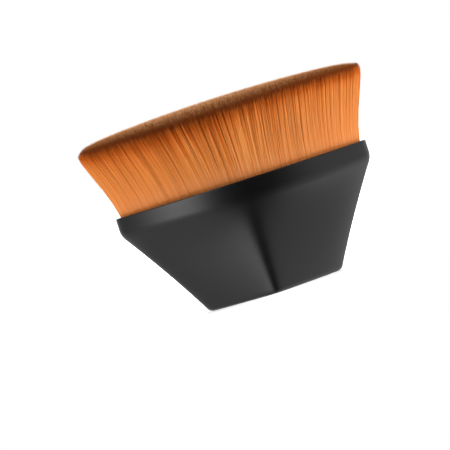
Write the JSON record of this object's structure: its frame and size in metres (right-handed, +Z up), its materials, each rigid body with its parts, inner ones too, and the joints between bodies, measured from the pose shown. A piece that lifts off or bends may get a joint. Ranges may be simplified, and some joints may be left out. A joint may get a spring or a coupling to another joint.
{
  "type": "foundation brush",
  "caption": "Palm-held makeup brush with an eye-shaped flared bristle tuft on a tapered four-faced handle, for spreading liquid foundation.",
  "frame": {"origin": "centre of the flat base that the brush stands on", "axes": "+X along the brush's long side, -Y out of its front ridge, +Z up from the base to the bristle tips"},
  "size_m": [0.062, 0.0264, 0.0425],
  "materials": {
    "black_plastic": "satin, soft-touch coated moulding",
    "grey_plastic": "bare moulding",
    "cured_adhesive": "cured resin",
    "bristle_filament": "fine synthetic filament, orange with dark brown dyed tips"
  },
  "bodies": {
    "root": {"handle_shell": "black_plastic", "tuft_cup": "grey_plastic", "glue_bed": "cured_adhesive", "bristle_tuft": "bristle_filament"}
  },
  "joints": []
}
